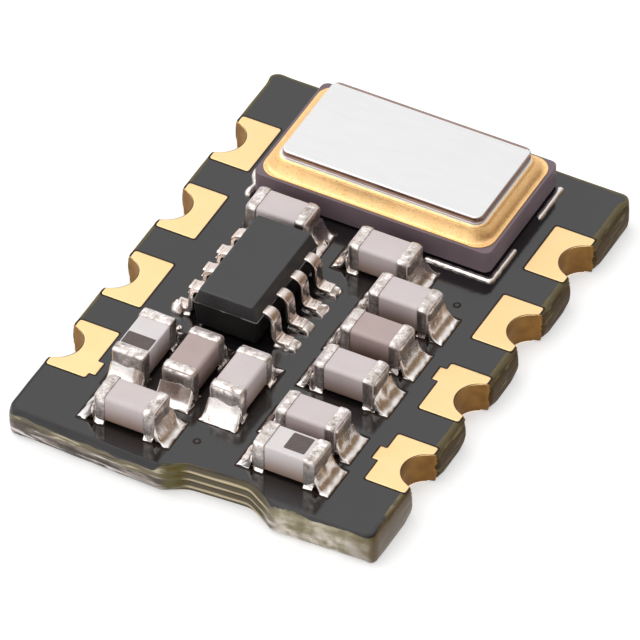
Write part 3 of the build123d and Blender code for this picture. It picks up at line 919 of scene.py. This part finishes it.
# Under the tub, each wall stands on pads whose solder shows as a narrow rounded bead, and a trail
# of it has run out beside the left wall
pads_left, pads_near = tub_low[:2] - pad_reach
pads_right, pads_far = tub_high[:2] + pad_reach
seam_lines = [((1.36, pads_near), (pads_right, pads_near), (pads_right, 3.54)),
              ((pads_right, 4.67), (pads_right, 5.85)),
              ((pads_left, 4.67), (pads_left, pads_far), (-1.4, pads_far)),
              ((1.3, pads_far), (2.7, pads_far))]
trail_line = ((pads_left - 0.1, 3.2), (pads_left - 0.06, 2.95), (pads_left + 0.1, 2.75),
              (pads_left + 0.06, 2.3))
seams = [seam(corners, 40 + k) for k, corners in enumerate(seam_lines)]
seams.append(seam(trail_line, 50, half_width=0.1, rise=0.13))
make_piece("resonator_joints", seams, solder, ["resonator_solder"], sharp=60)

# Integrated circuit. Eight gull-wing leads of tinned copper alloy come out of
# the parting line of a black epoxy moulding, which is drafted below that line
# and bevelled above it.
ic_low, ic_high = box_mm("ic_body")
ic_middle = (ic_low + ic_high) / 2
ic_parting = 1.60
ic_draft = 0.06
ic_bevel = np.array([0.12, 0.06])
ic_corner = 0.05
top_round = 0.035
parting_lip, flash_reach = 0.004, 0.008
lead_thickness = 0.14
lead_corner = 0.035
lead_shoulder, lead_root = 0.2, 0.3
lead_splay = 0.05
lead_bend = 0.17
lead_gap = 0.03
lead_tuck = 0.01
toe_joint = 0.1

compound, tree = start_material("black_epoxy_moulding")
# Transfer-moulded epoxy with silica filler: dark neutral grey, matt, eroded fine grain. Its lower
# half, drafted to face down, is painted blacker as shade and is duller, and thin grey flash stands
# along the parting line
point = place(tree)
cloud = clouds(tree, point, 0.5, 5.0)
grain = clouds(tree, point, 0.025)
height = add(tree, "SeparateXYZ", {0: point}, "Z")
tone = add(tree, "Mix", {0: cloud, 6: "191819", 7: "232223"}, data_type="RGBA")
# Painted shade: below the parting line the grey goes to near black
tone = layer(tree, "0D0C0C", tone, height, 1.57, 1.63)
flash = layer(tree, tone, "8C8886", height, 1.58, 1.6)
flash = layer(tree, tone, flash, height, 1.62, 1.6)
tone = layer(tree, tone, flash, cloud, 0.42, 0.56)
rough, sheen = (add(tree, "MapRange", {"Value": height, "From Min": 1.57, "From Max": 1.63, "To Min": below,
                                       "To Max": above}, interpolation_type="SMOOTHSTEP")
                for below, above in ((0.6, 0.36), (0.2, 0.5)))
finish(tree, {"Base Color": tone, "Roughness": rough, "Specular IOR Level": sheen, "IOR": 1.6},
       (grain, 0.8, 0.008))

tin, tree = start_material("tinned_copper_alloy_lead")
# Plated and bent leads: pale tin with a pinkish cast and stretch marks on the bends
point = place(tree)
cloud = clouds(tree, point, 0.25, 4.0)
grain = clouds(tree, point, 0.05)
tone = add(tree, "Mix", {0: cloud, 6: "CDBBB1", 7: "FAF0EB"}, data_type="RGBA")
finish(tree, {"Base Color": tone, "Metallic": 1.0, "Roughness": 0.22}, (grain, 0.5, 0.01))


def shrink(outline, rings):
    """Closed solid from one outline round a middle. Each ring is (height, inset), with one inset or
    two: the outline scaled along each axis so that its sides move in by these amounts."""
    middle = (outline.min(0) + outline.max(0)) / 2
    half_size = (outline.max(0) - outline.min(0)) / 2
    points = np.concatenate([lifted(middle + (outline - middle) * (1 - inset / half_size), height)
                             for height, inset in rings])
    return points, tube_faces(len(rings), len(outline))


turn = np.linspace(0, math.pi / 2, 5)
ic_rings = [(ic_low[2], ic_draft + 0.03), (ic_low[2] + 0.02, ic_draft)]
ic_rings += [(ic_parting + rise, inset) for rise, inset in (
    (-0.012, parting_lip), (-0.008, -flash_reach), (0.008, -flash_reach), (0.012, parting_lip))]
ic_rings += [(ic_high[2] - top_round * (1 - math.sin(angle)),
              ic_bevel + 0.8 * top_round * (1 - math.cos(angle))) for angle in turn]
ic_rings.append((ic_high[2], ic_bevel + 0.06))
make_piece("ic_moulding", [shrink(rectangle(ic_low, ic_high, ic_corner), ic_rings)], compound,
           ["ic_body"], sharp=50)


def sweep(path, section):
    """Closed bar: a section carried along a path in the x-z plane, square to it, with flat ends."""
    way = unit(np.gradient(path, axis=0))
    normal = np.column_stack([-way[:, 1], way[:, 0]])
    middle = path[:, None] + normal[:, None] * section[:, 1:]
    sideways = np.broadcast_to(section[:, 0], middle.shape[:2])
    points = np.stack([middle[..., 0], sideways, middle[..., 1]], axis=-1)
    return points.reshape(-1, 3), tube_faces(len(path), len(section))


foot_middle = board_top + lead_gap + lead_thickness / 2
knee = ic_high[0] - ic_middle[0] + lead_shoulder
lead_joints = []
for number in range(1, 9):
    low, high = box_mm(f"ic_lead_{number}")
    side = -1 if number <= 4 else 1
    lead_y = (low[1] + high[1]) / 2
    half_lead = np.array([high[1] - low[1], lead_thickness]) / 2
    toe = max(abs(low[0] - ic_middle[0]), abs(high[0] - ic_middle[0]))
    path = bent([(knee - lead_root, ic_parting), (knee, ic_parting), (knee + lead_splay, foot_middle),
                 (toe, foot_middle)], [lead_bend, lead_bend], 0.02)
    points, faces = sweep(path, rectangle(-half_lead, half_lead, lead_corner, 4))
    points = points * (side, 1, 1) + (ic_middle[0], lead_y, 0)
    make_piece(f"gull_wing_lead_{number}", [(points, faces if side > 0 else flipped(faces))], tin,
               [f"ic_lead_{number}"], sharp=50)
    reach, film = (0.27, 0.06) if side > 0 else (0.12, 0.02)
    wall = (ic_middle[0] + side * (toe - toe_joint), lead_y)
    lead_joints.append(joint(wall, (side, 0), half_lead[0] - lead_tuck, rise=0.14, reach=reach, side=0.03,
                             under=0.27, seed=60 + number, film=film, hollow=1.2))
make_piece("ic_joints", lead_joints, solder, ["ic_solder"], sharp=60)

# Chip components. Layered ceramic blocks whose two ends are dipped in metal
# paste, fired and tinned. Two have a printed mark on top, and two are of a
# browner ceramic. Each stands on its two solder joints.
chip_numbers = range(1, 12)
brown_chips = (4, 9)
pale_chips = (7, 8)
cap_length = 0.3
cap_wall = 0.02
cap_swell, cap_unevenness = 0.004, 0.006
cap_rings = (0.4, 0.65, 0.85, 0.97)
joint_tuck = 0.01
pale_corner, pale_round = 0.04, 0.05
chip_corner, chip_round = 0.085, 0.13
solder_rise = 0.45
# Height over the board at which the painted shade of the chips begins
board_shade_rise = 0.75


def chip_ceramic(name, low_colour, high_colour, board_shade_colour="AE9582"):
    """Fired ceramic of the chips: pale and satin, with a soft mottle and fine grain, and a brownish
    painted shade that darkens it towards the board."""
    material, tree = start_material(name)
    point = place(tree)
    cloud = clouds(tree, point, 0.5)
    grain = clouds(tree, point, 0.03, 2.0)
    tone = add(tree, "Mix", {0: cloud, 6: low_colour, 7: high_colour}, data_type="RGBA")
    height = add(tree, "SeparateXYZ", {0: point}, "Z")
    # Painted shade: the colour is multiplied darker towards the board
    tone = layer(tree, tone, board_shade_colour, height, board_top + board_shade_rise, board_top, blend_type="MULTIPLY")
    finish(tree, {"Base Color": tone, "Roughness": 0.4}, (grain, 0.4, 0.004))
    return material


pink_ceramic = chip_ceramic("barium_titanate_pinkish", "D6C8C9", "E2D6D6")
brown_ceramic = chip_ceramic("barium_titanate_brownish", "B7A29E", "C6B2AE", "8F7560")
pale_ceramic = chip_ceramic("alumina_white", "E4DCDC", "EEE7E7")

cap_tin, tree = start_material("tinned_end_cap")
# Barrel-plated tin over fired silver: grey satin with bright blotches where it is smooth
point = place(tree)
blotch = clouds(tree, point, 0.15, 4.0, Roughness=0.6)
frost = clouds(tree, point, 0.035)
shade = add(tree, "Math", {0: frost, 1: 0.35, 2: blotch}, operation="MULTIPLY_ADD")
tone = layer(tree, "A79D97", "D3CAC5", shade, 0.5, 0.68)
tone = layer(tree, tone, "FAF4F4", shade, 0.7, 0.82)
tone = layer(tree, tone, "8C827B", shade, 0.52, 0.44)
gloss = add(tree, "MapRange", {"Value": blotch, "From Min": 0.35, "From Max": 0.65, "To Min": 0.5,
                               "To Max": 0.3}, interpolation_type="SMOOTHSTEP")
finish(tree, {"Base Color": tone, "Metallic": 1.0, "Roughness": gloss}, (blotch, 0.4, 0.015))


def joint_reach(number, end):
    """How far a chip's solder runs out over its pad. The left pad of chip 1 is almost bare."""
    return 0.08 if (number, end) == (1, -1) else 0.36


def chip_box(number):
    """A chip's corners over its caps, and the number of the axis along it."""
    low, high = box_mm(f"chip_{number}_end_caps")
    return low, high, int(high[1] - low[1] >= high[0] - low[0])


def chip_section(width, tall, radius):
    """Rounded rectangle across a chip, in even steps."""
    half_size = np.array([width, tall]) / 2
    return resample(rectangle(-half_size, half_size, radius, 6), edge_spacing, closed=True)


def block(outline, stations, along, across, centre, unevenness=0.0, seed=0):
    """Closed block along one axis: the section scaled so that its sides move in by each
    station's inset, at that station's place along the axis, with a slight unevenness."""
    points, faces = shrink(outline, stations)
    placed = centre + points @ np.array([across, (0, 0, 1), along])
    if unevenness:
        placed = placed + unit(placed - centre) * (unevenness * ripple(placed, 0.3, seed))[:, None]
    return placed, faces


for number in chip_numbers:
    low, high, lengthwise = chip_box(number)
    centre = (low + high) / 2
    length, width, tall = (high - low)[[lengthwise, 1 - lengthwise, 2]]
    along = np.eye(3)[lengthwise]
    across = np.cross((0, 0, 1), along)
    crisp = number in pale_chips
    corner, end_round = (pale_corner, pale_round) if crisp else (chip_corner, chip_round)
    core = chip_section(width - 2 * cap_wall, tall - 2 * cap_wall, corner)
    half_core = length / 2 - 2 * cap_wall
    ceramic_kind = brown_ceramic if number in brown_chips else pale_ceramic if crisp else pink_ceramic
    make_piece(f"chip_{number}_ceramic",
               [block(core, [(-half_core, 0.0), (half_core, 0.0)], along, across, centre)],
               ceramic_kind, [f"chip_{number}_body"])
    inner, outer = length / 2 - cap_length, length / 2 - end_round
    stations = [(inner, cap_wall + 0.03)]
    stations += [(inner + cap_wall * (1 + math.sin(angle)), cap_wall * (1 - math.cos(angle)))
                 for angle in np.linspace(-math.pi / 2, 0, 4)]
    stations += [(x, -cap_swell) for x in np.linspace(inner + 0.06, outer - 0.02, 5)]
    stations += [(outer + end_round * math.sin(angle), end_round * (1 - math.cos(angle)))
                 for angle in np.linspace(0, math.pi / 2, 7)]
    stations += [(length / 2 + cap_swell, min(width, tall) / 2 * share) for share in cap_rings]
    skin = chip_section(width, tall, corner)
    caps = [block(skin, stations, along * end, across * end, centre, cap_unevenness,
                  100 + 2 * number + (end > 0)) for end in (-1, 1)]
    make_piece(f"chip_{number}_caps", caps, cap_tin, [f"chip_{number}_end_caps"], sharp=60)
    joints = [joint(centre + along * end * (length / 2 - joint_tuck), along[:2] * end, width / 2,
                    rise=solder_rise, reach=joint_reach(number, end), side=0.05, under=cap_length - 0.03,
                    seed=200 + 2 * number + (end > 0)) for end in (-1, 1)]
    make_piece(f"chip_{number}_joints", joints, solder, [f"chip_{number}_solder"], sharp=60)

# Printed marks on top of the two pale chips. They are small fields of dark glaze,
# screened on the ceramic beside one cap and fired.
mark_film = 0.006
marks = {7: ((-0.10, -0.22), (0.41, 0.31)), 8: ((-0.34, -0.45), (0.34, -0.06))}
glaze, tree = start_material("dark_glaze_mark")
# Screened and fired glass ink: brown black, slightly glossy, a little thinner in places
grain = clouds(tree, place(tree), 0.08, 4.0)
tone = add(tree, "Mix", {0: grain, 6: "4A3F3D", 7: "6B5D5A"}, data_type="RGBA")
finish(tree, {"Base Color": tone, "Roughness": 0.35})
for number, (mark_low, mark_high) in marks.items():
    low, high, lengthwise = chip_box(number)
    middle = (low + high)[:2] / 2
    top = high[2] - cap_wall
    outline = resample(rectangle(middle + mark_low, middle + mark_high, 0.02, 3), edge_spacing, closed=True)
    printed = stack(outline, worn_edge(top - mark_film, top + mark_film, 0.004))
    make_piece(f"chip_{number}_mark", [printed], glaze)

# Openings in the mask. Round each land and each solder joint the film stops a
# little way off, and the line of bare laminate there is coloured near black as
# painted shade. Vias beside the traces are tented: the film dips into them in a
# small ring, coloured near black as painted shade.
opening_gap = 0.03
opening_foot, opening_face = 0.012, 0.003
opening_rings = [(board_top - opening_foot, 0.0), (board_top - opening_face, 0.0)]
pad_side = 0.09
via_places = [(-0.322, -5.212), (2.51, -2.717), (2.699, 1.316)]
via_profile = np.array([(1.0, -0.014), (0.96, -0.003), (0.8, -0.002)])
via_radius, via_middle_radius, via_middle_rise = 0.1, 0.045, 0.004
gap_shade, tree = start_material("near_black_painted_gap_shade")
# Painted shade: the laminate in the narrow gaps, and the rings where vias dip, are coloured nearly black
# brown and dull
grain = clouds(tree, place(tree), 0.05)
tone = add(tree, "Mix", {0: grain, 6: "1B120C", 7: "33241A"}, data_type="RGBA")
finish(tree, {"Base Color": tone, "Roughness": 0.5, "Specular IOR Level": 0.2})
openings = []
for side, row in sides_and_rows:
    outline = drawn_in(land_outline(side, row, "top"), land_rim - opening_gap)
    openings.append(turned(stack(outline, opening_rings), side, terminal_ys[row]))
for number in chip_numbers:
    low, high, lengthwise = chip_box(number)
    for end in (-1, 1):
        grow = np.full(2, pad_side + opening_gap)
        grow[lengthwise] = joint_reach(number, end) + opening_gap
        pad = [low[:2] - grow, high[:2] + grow]
        inner = (low if end < 0 else high)[lengthwise] - end * (cap_length + opening_gap)
        pad[(1 - end) // 2][lengthwise] = inner
        openings.append(stack(rectangle(*pad, 0.05), opening_rings))
make_piece("mask_openings", openings, gap_shade)


def via_disc(x, y, radius, rise):
    """Low disc: circles of the profile's shares of the radius, at its heights below the board's top."""
    turn = np.linspace(0, 2 * math.pi, 33)[:-1]
    circle = radius * via_profile[:, :1, None] * np.column_stack([np.cos(turn), np.sin(turn)])
    points = lifted((x, y) + circle, board_top + rise + via_profile[:, 1:])
    return points.reshape(-1, 3), tube_faces(len(via_profile), len(turn))


# The rings of the vias are coloured near black as painted shade of the dip
via_rims = [via_disc(x, y, via_radius, 0.0) for x, y in via_places]
via_middles = [via_disc(x, y, via_middle_radius, via_middle_rise) for x, y in via_places]
make_piece("tented_via_rims", via_rims, gap_shade)
make_piece("tented_via_middles", via_middles, mask)

# Loose beads of solder that the oven left beside the joints: one large drop at the
# front left lead, and small ones near the chips.
beads = [(-2.66, -1.66, 0.19, 0.24), (-2.38, -2.2, 0.07, 0.06), (-0.94, 1.93, 0.06, 0.05),
         (0.26, 1.22, 0.05, 0.06), (-0.98, -2.96, 0.04, 0.05), (-0.83, 1.72, 0.09, 0.07)]


def bead(x, y, radius, rise, seed):
    """Drop of solder: over a disc in plan, the height is the rise times the root of what is
    left of the squared radius, and the rim and the top are drawn uneven."""
    rings, spokes = 14, 40
    share = np.sin(np.linspace(0, math.pi / 2, rings))[:, None]
    angle = np.linspace(0, 2 * math.pi, spokes, endpoint=False)[None]
    plan = np.stack([share * np.cos(angle), share * np.sin(angle)], axis=-1)
    plan = plan * (1 + 0.22 * ripple(unit(plan + 1e-9), 1.5, seed))[..., None]
    height = rise * np.sqrt(1 - share ** 2) * (1 + 0.25 * ripple(plan, 0.9, seed + 1))
    points = lifted((x, y) + radius * plan, board_top + height)
    return points.reshape(-1, 3), flipped(tube_faces(rings, spokes))


drops = [bead(*place_and_size, 300 + 5 * k) for k, place_and_size in enumerate(beads)]
make_piece("solder_beads", drops, solder, sharp=80)
